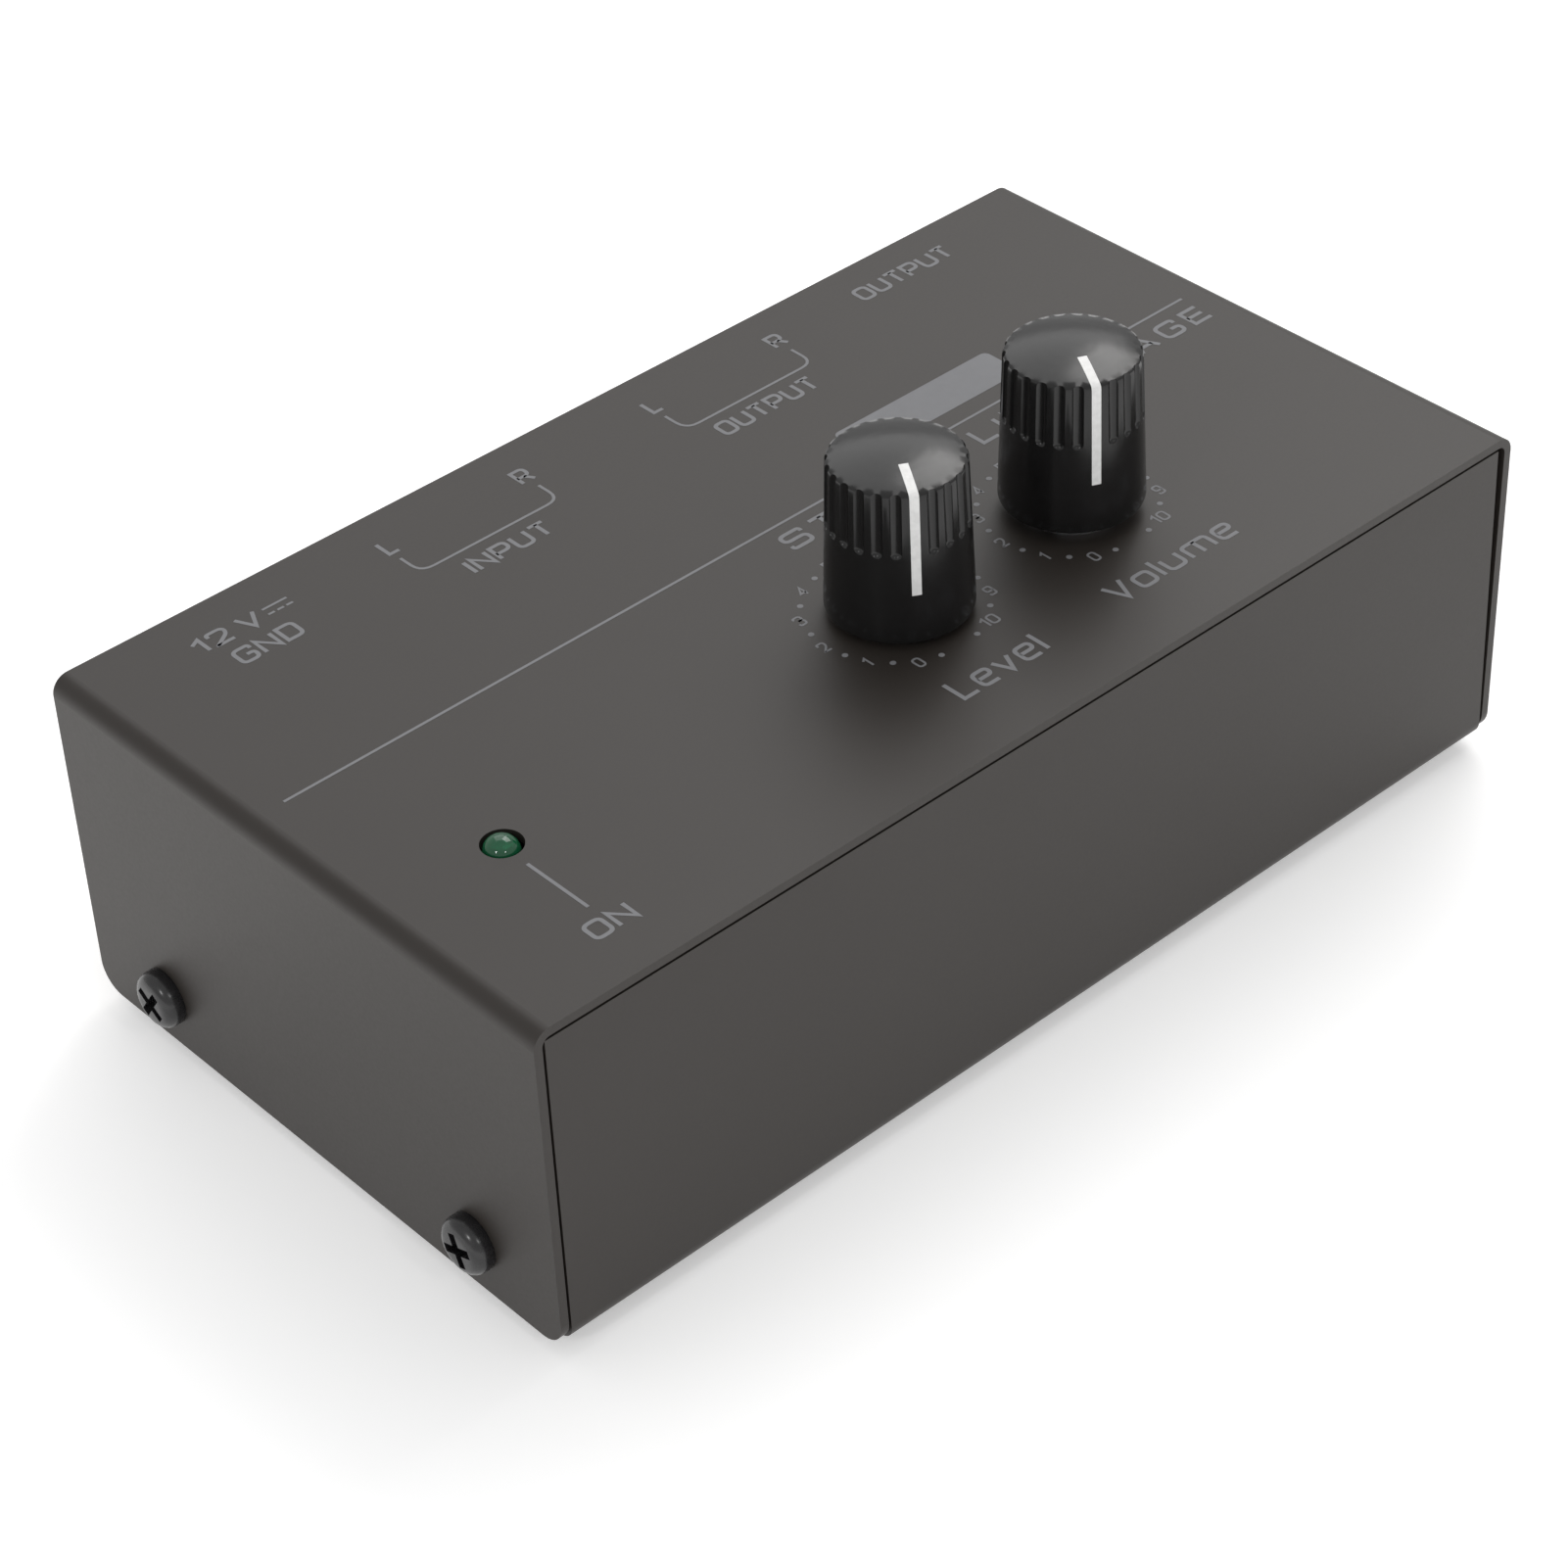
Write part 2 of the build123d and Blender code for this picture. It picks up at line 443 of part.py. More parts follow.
# flat cable joining the two boards
save("cable_header_lower", box(46.0, 62.0, 38.8, 44.6, board_top, board_top + 6.0) - box(47.0, 61.0, 39.8, 43.6, board_top + 1.2, board_top + 7))
save("cable_header_upper", box(46.0, 62.0, 28.0, 34.0, ctl_top, ctl_top + 5.8) - box(47.0, 61.0, 30.0, 35.0, ctl_top + 1.0, ctl_top + 4.8))
path = [(41.7, board_top + 1.2), (41.7, ctl_top + 2.9), (30.4, ctl_top + 2.9)]
half = 0.6
outer_ = [(path[0][0] + half, path[0][1]), (path[0][0] + half, path[1][1] - 3.4)]
outer_ += arc_points(41.7 + half - 4.6, path[1][1] + half - 4.6, 4.6, 0, 90, 8)
outer_ += [(30.4, path[1][1] + half), (30.4, path[1][1] - half)]
outer_ += arc_points(41.7 + half - 4.6, path[1][1] + half - 4.6, 4.6 - 2 * half, 90, 0, 8)
outer_ += [(path[0][0] - half, path[0][1])]
face = make_face(Plane.YZ * Polyline(*outer_, close=True))
cable = Pos(48.0, 0, 0) * extrude(face, 12.0, dir=(1, 0, 0))
save("flat_cable", cable)
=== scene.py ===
import bpy
import json
import math
from mathutils import Matrix, Vector


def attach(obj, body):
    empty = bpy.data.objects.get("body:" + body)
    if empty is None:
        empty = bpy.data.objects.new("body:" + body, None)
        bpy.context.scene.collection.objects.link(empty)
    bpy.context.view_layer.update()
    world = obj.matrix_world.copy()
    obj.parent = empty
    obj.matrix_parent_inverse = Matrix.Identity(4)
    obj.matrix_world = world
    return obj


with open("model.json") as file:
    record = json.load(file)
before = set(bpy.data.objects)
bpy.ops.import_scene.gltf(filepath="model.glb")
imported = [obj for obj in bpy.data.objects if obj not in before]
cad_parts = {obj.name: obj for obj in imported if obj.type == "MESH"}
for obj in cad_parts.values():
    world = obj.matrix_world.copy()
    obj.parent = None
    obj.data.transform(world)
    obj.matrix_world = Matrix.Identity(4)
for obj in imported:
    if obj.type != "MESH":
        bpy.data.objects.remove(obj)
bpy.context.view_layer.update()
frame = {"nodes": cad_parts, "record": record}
nodes = frame["nodes"]

# Working sizes below are in millimetres on the case: x from the left end,
# y from the front face, z from the underside.  row() gives the row frame.
DX, DY, DZ = -67.5, -44.25, 2.0


def row(x, y, z):
    return Vector(((x + DX) / 1000, (y + DY) / 1000, (z + DZ) / 1000))


# ------------------------------------------------------------------ materials
def new_mat(name):
    m = bpy.data.materials.new(name)
    m.use_nodes = True
    nt = m.node_tree
    bsdf = nt.nodes["Principled BSDF"]
    tc = nt.nodes.new("ShaderNodeTexCoord")
    return m, nt, bsdf, tc.outputs["Object"]


def noise(nt, co, scale, detail=2.0, rough=0.5):
    n = nt.nodes.new("ShaderNodeTexNoise")
    n.inputs["Scale"].default_value = scale
    n.inputs["Detail"].default_value = detail
    n.inputs["Roughness"].default_value = rough
    nt.links.new(co, n.inputs["Vector"])
    return n.outputs["Fac"]


def ramp(nt, fac, stops):
    r = nt.nodes.new("ShaderNodeValToRGB")
    e = r.color_ramp.elements
    while len(e) < len(stops):
        e.new(0.5)
    for el, (p, c) in zip(e, stops):
        el.position = p
        el.color = tuple(c) + (1.0,) if len(c) == 3 else c
    nt.links.new(fac, r.inputs["Fac"])
    return r.outputs["Color"]


def map_range(nt, fac, a, b, c, d):
    m = nt.nodes.new("ShaderNodeMapRange")
    m.inputs["From Min"].default_value = a
    m.inputs["From Max"].default_value = b
    m.inputs["To Min"].default_value = c
    m.inputs["To Max"].default_value = d
    nt.links.new(fac, m.inputs["Value"])
    return m.outputs["Result"]


def bump(nt, bsdf, fac, strength, dist):
    b = nt.nodes.new("ShaderNodeBump")
    b.inputs["Strength"].default_value = strength
    b.inputs["Distance"].default_value = dist
    nt.links.new(fac, b.inputs["Height"])
    nt.links.new(b.outputs["Normal"], bsdf.inputs["Normal"])


def plain(name, c0, c1, rough=(0.4, 0.5), metal=0.0, spec=0.5, scale=400.0, bump_s=0.1, bump_d=2e-5, bump_scale=2500.0,
          coat=0.0, trans=0.0, ior=1.45):
    """Two near tones mixed by fine noise, with a fine surface grain."""
    m, nt, bsdf, co = new_mat(name)
    f = noise(nt, co, scale, 3.0)
    nt.links.new(ramp(nt, f, [(0.35, c0), (0.65, c1)]), bsdf.inputs["Base Color"])
    nt.links.new(map_range(nt, noise(nt, co, scale * 1.7), 0.3, 0.7, rough[0], rough[1]), bsdf.inputs["Roughness"])
    bsdf.inputs["Metallic"].default_value = metal
    bsdf.inputs["Specular IOR Level"].default_value = spec
    bsdf.inputs["IOR"].default_value = ior
    bsdf.inputs["Coat Weight"].default_value = coat
    bsdf.inputs["Coat Roughness"].default_value = 0.1
    bsdf.inputs["Transmission Weight"].default_value = trans
    bump(nt, bsdf, noise(nt, co, bump_scale, 2.0), bump_s, bump_d)
    return m


def powder_coat(name):
    m, nt, bsdf, co = new_mat(name)
    base = ramp(nt, noise(nt, co, 60.0, 4.0, 0.6), [(0.3, (0.0275, 0.0228, 0.0195)), (0.7, (0.0290, 0.0243, 0.0210))])
    # sparse dust specks
    v = nt.nodes.new("ShaderNodeTexVoronoi")
    v.inputs["Scale"].default_value = 110.0
    nt.links.new(co, v.inputs["Vector"])
    near = map_range(nt, v.outputs["Distance"], 0.012, 0.020, 1.0, 0.0)
    sep = nt.nodes.new("ShaderNodeSeparateColor")
    nt.links.new(v.outputs["Color"], sep.inputs["Color"])
    pick = map_range(nt, sep.outputs["Red"], 0.90, 0.91, 0.0, 1.0)
    mul = nt.nodes.new("ShaderNodeMath")
    mul.operation = "MULTIPLY"
    nt.links.new(near, mul.inputs[0])
    nt.links.new(pick, mul.inputs[1])
    mix = nt.nodes.new("ShaderNodeMix")
    mix.data_type = "RGBA"
    mix.inputs["B"].default_value = (0.55, 0.55, 0.53, 1.0)
    for s in mix.inputs:
        if s.name == "B" and s.type == "RGBA":
            s.default_value = (0.55, 0.55, 0.53, 1.0)
    a_in = [s for s in mix.inputs if s.name == "A" and s.type == "RGBA"][0]
    f_in = [s for s in mix.inputs if s.name == "Factor" and s.type == "VALUE"][0]
    out = [s for s in mix.outputs if s.type == "RGBA"][0]
    nt.links.new(base, a_in)
    nt.links.new(mul.outputs["Value"], f_in)
    nt.links.new(out, bsdf.inputs["Base Color"])
    nt.links.new(map_range(nt, noise(nt, co, 3000.0, 2.0), 0.3, 0.7, 0.43, 0.47), bsdf.inputs["Roughness"])
    bsdf.inputs["Specular IOR Level"].default_value = 0.40
    bump(nt, bsdf, noise(nt, co, 3500.0, 2.0), 0.05, 1.0e-5)
    return m


M = {
    "case_coat": powder_coat("case_coat"),
    "black_screw": plain("black_screw", (0.010, 0.010, 0.011), (0.016, 0.015, 0.016), (0.20, 0.30), 0.0, 0.8, 900),
    "rubber": plain("rubber", (0.018, 0.018, 0.018), (0.03, 0.03, 0.03), (0.75, 0.9), 0, 0.3),
    "board_green": plain("board_green", (0.012, 0.09, 0.04), (0.02, 0.13, 0.055), (0.3, 0.4), 0, 0.5, 250),
    "brass": plain("brass", (0.70, 0.50, 0.22), (0.78, 0.58, 0.28), (0.25, 0.35), 1.0),
    "zinc_steel": plain("zinc_steel", (0.55, 0.56, 0.58), (0.64, 0.64, 0.65), (0.28, 0.4), 1.0),
    "nickel": plain("nickel", (0.62, 0.60, 0.56), (0.70, 0.68, 0.64), (0.14, 0.24), 1.0, scale=150),
    "black_moulding": plain("black_moulding", (0.014, 0.014, 0.015), (0.022, 0.022, 0.023), (0.45, 0.6)),
    "wafer_brown": plain("wafer_brown", (0.16, 0.08, 0.035), (0.24, 0.13, 0.06), (0.5, 0.65)),
    "shaft_alloy": plain("shaft_alloy", (0.6, 0.6, 0.6), (0.7, 0.7, 0.7), (0.3, 0.4), 1.0),
    "tinned_metal": plain("tinned_metal", (0.6, 0.6, 0.6), (0.72, 0.72, 0.72), (0.25, 0.4), 1.0),
    "knob_black": plain("knob_black", (0.0105, 0.0102, 0.0102), (0.0120, 0.0118, 0.0118), (0.19, 0.23), 0, 0.50, 900, 0.02, 0.6e-5, 3500),
    "pointer_white": plain("pointer_white", (0.80, 0.80, 0.79), (0.88, 0.88, 0.87), (0.4, 0.5), 0, 0.5, 1500),
    "lamp_green": plain("lamp_green", (0.010, 0.16, 0.065), (0.016, 0.21, 0.085), (0.04, 0.08), 0, 0.7, 300, 0.02, 1e-5, 900, trans=0.55, ior=1.5),
    "gold_brass": plain("gold_brass", (0.74, 0.50, 0.17), (0.84, 0.60, 0.24), (0.16, 0.26), 1.0),
    "wire_green": plain("wire_green", (0.03, 0.25, 0.04), (0.05, 0.33, 0.06), (0.4, 0.5)),
    "insulator_white": plain("insulator_white", (0.74, 0.74, 0.71), (0.82, 0.82, 0.79), (0.35, 0.45)),
    "insulator_red": plain("insulator_red", (0.42, 0.010, 0.012), (0.52, 0.016, 0.018), (0.35, 0.45)),
    "capacitor_sleeve": plain("capacitor_sleeve", (0.010, 0.014, 0.05), (0.018, 0.022, 0.07), (0.25, 0.35)),
    "film_red": plain("film_red", (0.35, 0.035, 0.015), (0.45, 0.05, 0.02), (0.2, 0.3)),
    "resistor_blue": plain("resistor_blue", (0.12, 0.28, 0.40), (0.18, 0.36, 0.50), (0.25, 0.35)),
    "header_white": plain("header_white", (0.70, 0.67, 0.58), (0.78, 0.75, 0.66), (0.4, 0.5)),
    "cable_grey": plain("cable_grey", (0.22, 0.22, 0.23), (0.30, 0.30, 0.31), (0.45, 0.6)),
    "print_grey": plain("print_grey", (0.200, 0.202, 0.212), (0.206, 0.208, 0.218), (0.55, 0.6), 0, 0.3, 900),
}

slot_of = {s["node"]: s["material_slot"] for s in frame["record"]["subparts"]}
for n, o in nodes.items():
    o.data.materials.clear()
    o.data.materials.append(M[slot_of[n]])
    for p in o.data.polygons:
        p.material_index = 0

# soft shading over the knobs' small dome facets; real edges stay crisp
for n in ("level_knob", "volume_knob", "led_lens", "cover_screws", "level_pointer", "volume_pointer"):
    o = nodes[n]
    a = o.data.attributes.get("custom_normal")
    if a is not None:
        o.data.attributes.remove(a)
    for p in o.data.polygons:
        p.use_smooth = True
    w = o.modifiers.new("weld", "WELD")
    w.merge_threshold = 2e-6
    e = o.modifiers.new("crease", "EDGE_SPLIT")
    e.use_edge_angle = True
    e.split_angle = math.radians(30)
    e.use_edge_sharp = False

# --------------------------------------------------------------- lid printing
PRINT_Z = case_top = 40.0


def round_poly(pts, r, closed=False, steps=5):
    """Polyline with its inner corners rounded to radius r."""
    if r <= 0:
        return list(pts)
    out, n = [], len(pts)
    for i, p in enumerate(pts):
        if not closed and i in (0, n - 1):
            out.append(p)
            continue
        a, b = Vector(pts[i - 1]), Vector(pts[(i + 1) % n])
        q = Vector(p)
        u, v = (a - q), (b - q)
        k = min(r, u.length * 0.499, v.length * 0.499)
        u, v = u.normalized(), v.normalized()
        s, e = q + u * k, q + v * k
        for j in range(steps + 1):
            t = j / steps
            out.append(tuple((1 - t) ** 2 * s + 2 * t * (1 - t) * q + t * t * e))
    return out


def ribbon(verts, faces, pts, w, closed=False):
    """Adds a flat band of width w along pts, with mitred joints."""
    P = [Vector(p) for p in pts]
    keep = [P[0]]
    for p in P[1:]:
        if (p - keep[-1]).length > 1e-4:
            keep.append(p)
    if closed and (keep[0] - keep[-1]).length < 1e-4:
        keep.pop()
    P, n = keep, len(keep)
    base = len(verts)
    for i in range(n):
        if closed or 0 < i < n - 1:
            d0 = (P[i] - P[i - 1]).normalized()
            d1 = (P[(i + 1) % n] - P[i]).normalized()
        elif i == 0:
            d0 = d1 = (P[1] - P[0]).normalized()
        else:
            d0 = d1 = (P[-1] - P[-2]).normalized()
        n0, n1 = Vector((-d0.y, d0.x)), Vector((-d1.y, d1.x))
        m = (n0 + n1)
        m = m.normalized() if m.length > 1e-6 else n0
        k = 1.0 / max(0.45, m.dot(n0))
        verts.append(tuple(P[i] + m * (w / 2 * k)))
        verts.append(tuple(P[i] - m * (w / 2 * k)))
    for i in range(n if closed else n - 1):
        j = (i + 1) % n
        faces.append((base + 2 * i, base + 2 * i + 1, base + 2 * j + 1, base + 2 * j))


def disc(verts, faces, x, y, r, n=20):
    base = len(verts)
    for i in range(n):
        a = 2 * math.pi * i / n
        verts.append((x + r * math.cos(a), y + r * math.sin(a)))
    faces.append(tuple(range(base, base + n)))


# glyph: (width, [(points, corner radius, closed)]), cap height 1
def glyphs(w=0.72, r=0.26):
    R = r
    x = 0.72  # lower-case height
    lw = 0.62
    g = {
        "A": (w, [([(0, 0), (w / 2, 1), (w, 0)], 0, 0), ([(0.17 * w, 0.33), (0.83 * w, 0.33)], 0, 0)]),
        "D": (w, [([(0, 0), (0, 1), (0.6 * w, 1), (w, 1), (w, 0), (0.6 * w, 0)], 0, 1)]),
        "E": (w * .9, [([(w * .9, 1), (0, 1), (0, 0), (w * .9, 0)], 0, 0), ([(0, 0.5), (w * .82, 0.5)], 0, 0)]),
        "G": (w, [([(w, 0.76), (w, 1), (0, 1), (0, 0), (w, 0), (w, 0.48), (w * 0.55, 0.48)], R, 0)]),
        "H": (w, [([(0, 0), (0, 1)], 0, 0), ([(w, 0), (w, 1)], 0, 0), ([(0, .5), (w, .5)], 0, 0)]),
        "I": (0.0, [([(0, 0), (0, 1)], 0, 0)]),
        "L": (w * .82, [([(0, 1), (0, 0), (w * .82, 0)], 0, 0)]),
        "N": (w, [([(0, 0), (0, 1), (w, 0), (w, 1)], 0, 0)]),
        "O": (w, [([(0, 0), (0, 1), (w, 1), (w, 0)], R, 1)]),
        "P": (w, [([(0, 0), (0, 1), (w * .5, 1), (w, 1), (w, 0.42), (0, 0.42)], 0, 0)]),
        "R": (w, [([(0, 0), (0, 1), (w * .5, 1), (w, 1), (w, 0.45), (0, 0.45)], 0, 0), ([(w * .55, 0.45), (w, 0)], 0, 0)]),
        "S": (w, [([(w, 0.78), (w, 1), (0, 1), (0, 0.52), (w, 0.52), (w, 0), (0, 0), (0, 0.22)], R * .8, 0)]),
        "T": (w, [([(0, 1), (w, 1)], 0, 0), ([(w / 2, 1), (w / 2, 0)], 0, 0)]),
        "U": (w, [([(0, 1), (0, 0), (w, 0), (w, 1)], R, 0)]),
        "V": (w * .95, [([(0, 1), (w * .475, 0), (w * .95, 1)], 0, 0)]),
        "e": (lw, [([(0.04, 0.38), (lw, 0.38), (lw, x), (0, x), (0, 0), (lw * .96, 0)], R * .8, 0)]),
        "l": (0.0, [([(0, 0), (0, 1.0)], 0, 0)]),
        "m": (lw * 1.6, [([(0, 0), (0, x), (lw * 1.6, x), (lw * 1.6, 0)], R * .7, 0), ([(lw * .8, x), (lw * .8, 0)], 0, 0)]),
        "o": (lw, [([(0, 0), (0, x), (lw, x), (lw, 0)], R * .8, 1)]),
        "u": (lw, [([(0, x), (0, 0), (lw, 0), (lw, x)], R * .8, 0)]),
        "v": (lw, [([(0, x), (lw / 2, 0), (lw, x)], 0, 0)]),
        "0": (0.60, [([(0, 0), (0, 1), (0.60, 1), (0.60, 0)], 0.27, 1)]),
        "1": (0.30, [([(0, 0.76), (0.30, 1), (0.30, 0)], 0, 0)]),
        "2": (0.60, [([(0, 0.74), (0, 1), (0.60, 1), (0.60, 0.56), (0, 0.0), (0.02, 0.0)], 0.22, 0), ([(0, 0), (0.62, 0)], 0, 0)]),
        "3": (0.60, [([(0, 0.78), (0, 1), (0.6, 1), (0.6, 0.53), (0.2, 0.53)], 0.22, 0), ([(0.2, 0.53), (0.6, 0.53), (0.6, 0), (0, 0), (0, 0.22)], 0.22, 0)]),
        "4": (0.64, [([(0.48, 0), (0.48, 1), (0, 0.28), (0.64, 0.28)], 0, 0)]),
        "5": (0.60, [([(0.6, 1), (0.04, 1), (0.04, 0.58)], 0, 0), ([(0.04, 0.58), (0.6, 0.58), (0.6, 0), (0, 0), (0, 0.2)], 0.22, 0)]),
        "6": (0.60, [([(0.58, 0.82), (0.58, 1), (0, 1), (0, 0), (0.6, 0), (0.6, 0.56), (0, 0.56)], 0.22, 0)]),
        "7": (0.60, [([(0, 1), (0.6, 1), (0.22, 0)], 0, 0)]),
        "8": (0.60, [([(0, 0), (0, 0.54), (0.6, 0.54), (0.6, 0)], 0.2, 1), ([(0.03, 0.54), (0.03, 1), (0.57, 1), (0.57, 0.54)], 0.2, 1)]),
        "9": (0.60, [([(0.02, 0.18), (0.02, 0), (0.6, 0), (0.6, 1), (0, 1), (0, 0.44), (0.6, 0.44)], 0.22, 0)]),
        " ": (0.25, []),
    }
    return g


G = glyphs()


def rounded_right(pts, r):
    """Rounds only the right-hand corners, as on D, P and R."""
    xm = max(p[0] for p in pts)
    out = []
    n = len(pts)
    for i, p in enumerate(pts):
        if abs(p[0] - xm) < 1e-6 and 0 < i < n - 1:
            a, b = Vector(pts[i - 1]), Vector(pts[i + 1])
            q = Vector(p)
            u, v = (a - q), (b - q)
            k = min(r, u.length * 0.499 if abs(a.x - xm) < 1e-6 else u.length, v.length * 0.499 if abs(b.x - xm) < 1e-6 else v.length)
            u, v = u.normalized(), v.normalized()
            s, e = q + u * k, q + v * k
            for j in range(6):
                t = j / 5
                out.append(tuple((1 - t) ** 2 * s + 2 * t * (1 - t) * q + t * t * e))
        else:
            out.append(p)
    return out


def text(verts, faces, s, x0, x1, y0, cap, stroke, gap=0.30):
    """Letters of cap height cap on the baseline y0, fitted between x0 and x1 (outer edges)."""
    inner = cap - stroke
    total = sum(G[c][0] for c in s) * inner + gap * inner * (len(s) - 1) + stroke
    k = (x1 - x0 - stroke) / max(total - stroke, 1e-6)
    if len(s) == 1:
        k = (x1 - x0 - stroke) / max(G[s][0] * inner, 1e-6) if G[s][0] > 0 else 1.0
    x = x0 + stroke / 2
    for c in s:
        w, strokes = G[c]
        for pts, r, closed in strokes:
            if c in "DPR" and r == 0 and len(pts) > 4:
                pts2 = rounded_right(pts, 0.26)
            else:
                pts2 = round_poly(pts, r, bool(closed))
            place = [(x + px * inner * k, y0 + stroke / 2 + py * inner) for px, py in pts2]
            ribbon(verts, faces, place, stroke, bool(closed))
        x += (w + gap) * inner * k


def print_piece(name, verts, faces, thick=0.02, z=PRINT_Z, mat="print_grey", body="case"):
    """Thin raised ink: a closed slab standing on the lid."""
    n = len(verts)
    v3 = [tuple(row(x, y, z + thick)) for x, y in verts] + [tuple(row(x, y, z - 0.01)) for x, y in verts]
    f3 = []
    for f in faces:
        area = sum(verts[f[i]][0] * verts[f[(i + 1) % len(f)]][1] - verts[f[(i + 1) % len(f)]][0] * verts[f[i]][1] for i in range(len(f)))
        f = tuple(f) if area > 0 else tuple(reversed(f))
        f3.append(f)
        f3.append(tuple(i + n for i in reversed(f)))
        for i in range(len(f)):
            a, b = f[i], f[(i + 1) % len(f)]
            f3.append((b, a, a + n, b + n))
    me = bpy.data.meshes.new(name)
    me.from_pydata(v3, [], f3)
    me.update()
    o = bpy.data.objects.new(name, me)
    bpy.context.scene.collection.objects.link(o)
    me.materials.append(M[mat])
    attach(o, body)
    return o


# power lamp label
v, f = [], []
ribbon(v, f, [(15.25, 19.0), (15.25, 10.2)], 0.38)
text(v, f, "ON", 12.65, 18.0, 5.8, 2.8, 0.46)
print_piece("print_lamp", v, f)

# rule across the lid and the plain title under it
v, f = [], []
ribbon(v, f, [(4.7, 42.75), (130.3, 43.25)], 0.34)
print_piece("print_rule", v, f)
v, f = [], []
text(v, f, "STEREO LINE STAGE", 67.2, 130.3, 38.3, 3.1, 0.50, 0.42)
print_piece("print_title", v, f)
v, f = [], []
bar = round_poly([(84.5, 45.6), (107.4, 45.6), (107.4, 51.2), (84.5, 51.2)], 0.9, True)
v += bar
f.append(tuple(range(len(bar))))
print_piece("print_bar", v, f)

# supply and ground
v, f = [], []
text(v, f, "12", 13.1, 17.5, 67.35, 2.75, 0.44)
text(v, f, "V", 18.75, 21.4, 67.35, 2.75, 0.44)
ribbon(v, f, [(22.1, 69.35), (25.2, 69.35)], 0.30)
for x in (22.1, 23.25, 24.4):
    ribbon(v, f, [(x, 68.25), (x + 0.8, 68.25)], 0.30)
text(v, f, "GND", 15.2, 23.1, 63.0, 2.85, 0.46)
print_piece("print_supply", v, f)

# input pair
v, f = [], []
text(v, f, "L", 37.15, 38.8, 67.5, 2.8, 0.44)
text(v, f, "R", 55.2, 57.2, 67.55, 2.8, 0.44)
ribbon(v, f, round_poly([(37.7, 66.4), (37.7, 62.95), (56.3, 62.95), (56.3, 66.4)], 1.9), 0.34)
text(v, f, "INPUT", 41.5, 52.45, 58.6, 2.75, 0.46)
print_piece("print_input", v, f)

# output pair and the single output
v, f = [], []
text(v, f, "L", 73.75, 75.4, 67.85, 2.7, 0.44)
text(v, f, "R", 91.9, 93.9, 67.95, 2.7, 0.44)
ribbon(v, f, round_poly([(74.35, 66.75), (74.35, 63.2), (92.85, 63.2), (92.85, 66.75)], 1.9), 0.34)
text(v, f, "OUTPUT", 76.5, 90.5, 59.0, 2.75, 0.46)
text(v, f, "OUTPUT", 105.4, 119.75, 68.1, 2.75, 0.46)
print_piece("print_output", v, f)

# dials
for name, cx, cy, rd, rn in (("level", 67.78, 24.08, 9.58, 9.85), ("volume", 92.85, 24.25, 9.5, 9.75)):
    v, f = [], []
    for i in range(11):
        a = math.radians(-150 + 30 * i)
        px, py = cx + rn * math.sin(a), cy + rn * math.cos(a)
        s = str(i)
        w = 1.05 if len(s) == 1 and s != "1" else (0.62 if s == "1" else 2.1)
        text(v, f, s, px - w / 2, px + w / 2, py - 0.83, 1.66, 0.24)
    for i in range(-11, 12):
        if i % 2:
            a = math.radians(15 * i)
            disc(v, f, cx + rd * math.sin(a), cy + rd * math.cos(a), 0.33)
    print_piece("print_dial_" + name, v, f)
v, f = [], []
text(v, f, "Level", 61.7, 73.85, 7.85, 3.55, 0.48)
text(v, f, "Volume", 84.1, 101.8, 8.15, 3.35, 0.48)
print_piece("print_names", v, f)

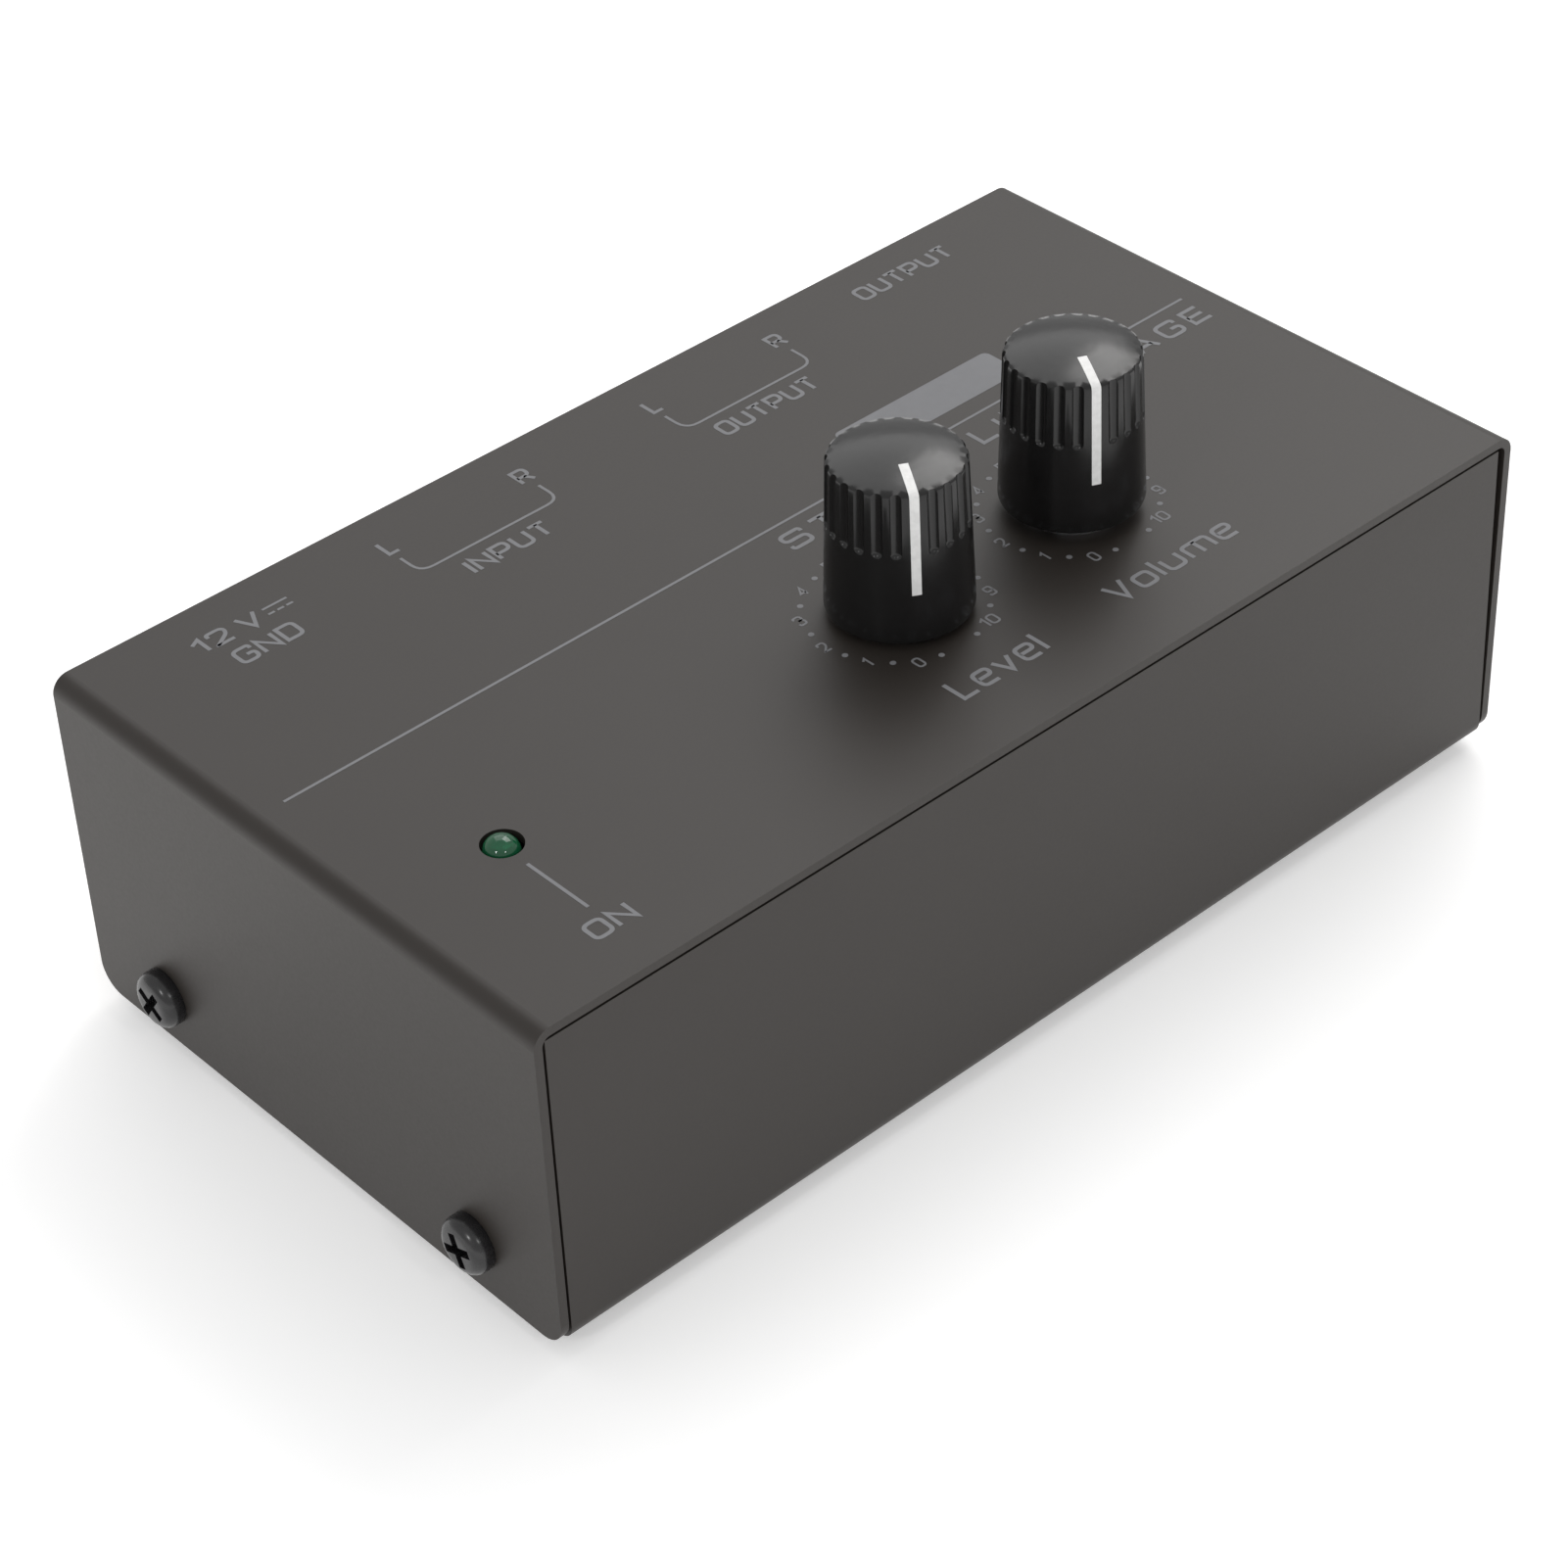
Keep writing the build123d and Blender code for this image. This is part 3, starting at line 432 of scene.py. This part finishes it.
# ------------------------------------------------------------------ stage
scene = bpy.context.scene
bpy.ops.mesh.primitive_plane_add(size=8.0, location=(0, 0, 0))
floor = bpy.context.object
floor.name = "floor"
fm, nt, bsdf, co = new_mat("floor")
nt.links.new(ramp(nt, noise(nt, co, 3.0), [(0.3, (0.90, 0.90, 0.90)), (0.7, (0.92, 0.92, 0.92))]), bsdf.inputs["Base Color"])
bsdf.inputs["Roughness"].default_value = 0.9
bsdf.inputs["Specular IOR Level"].default_value = 0.1
bsdf.inputs["Emission Color"].default_value = (1.0, 1.0, 1.0, 1.0)
bsdf.inputs["Emission Strength"].default_value = 0.34
floor.data.materials.append(fm)

world = bpy.data.worlds.new("world")
scene.world = world
world.use_nodes = True
bg = world.node_tree.nodes["Background"]
bg.inputs["Color"].default_value = (1.0, 1.0, 1.0, 1.0)
bg.inputs["Strength"].default_value = 0.60


def area(name, loc, aim, size, power, color=(1, 1, 1)):
    d = bpy.data.lights.new(name, "AREA")
    d.shape = "RECTANGLE"
    d.size, d.size_y = size
    d.energy = power
    d.color = color
    o = bpy.data.objects.new(name, d)
    scene.collection.objects.link(o)
    o.location = loc
    o.rotation_euler = (Vector(aim) - Vector(loc)).to_track_quat("-Z", "Y").to_euler()
    return o


area("key_right_rear", (0.95, 0.28, 1.15), (0, 0, 0.02), (0.8, 0.8), 6.5, (1.0, 0.985, 0.97))
area("sky_rear", (0.75, 1.00, 1.30), (0, 0, 0.02), (1.5, 1.5), 8.0)
area("fill_left", (-0.95, -0.25, 0.75), (0, 0, 0.02), (0.08, 0.18), 1.4)
area("fill_front", (-0.15, -1.05, 0.85), (0, 0, 0.02), (0.06, 0.14), 0.8)

# ------------------------------------------------------------------ camera
az, el, roll = math.radians(-40.958), math.radians(38.449), math.radians(-2.609)
back = Vector((math.sin(az) * math.cos(el), -math.cos(az) * math.cos(el), math.sin(el)))
right = (-back).cross(Vector((0, 0, 1))).normalized()
up = right.cross(-back)
r_ = math.cos(roll) * right + math.sin(roll) * up
u_ = -math.sin(roll) * right + math.cos(roll) * up
cam_d = bpy.data.cameras.new("camera")
cam_d.sensor_width = 36.0
cam_d.lens = 95.12
cam_d.clip_start = 0.01
cam = bpy.data.objects.new("camera", cam_d)
scene.collection.objects.link(cam)
mw = Matrix((r_, u_, back)).transposed().to_4x4()
mw.translation = row(-162.744, -223.190, 285.9997)
cam.matrix_world = mw
scene.camera = cam
scene.view_settings.view_transform = "Standard"
scene.view_settings.look = "None"
scene.view_settings.exposure = 0.0
scene.view_settings.gamma = 1.0
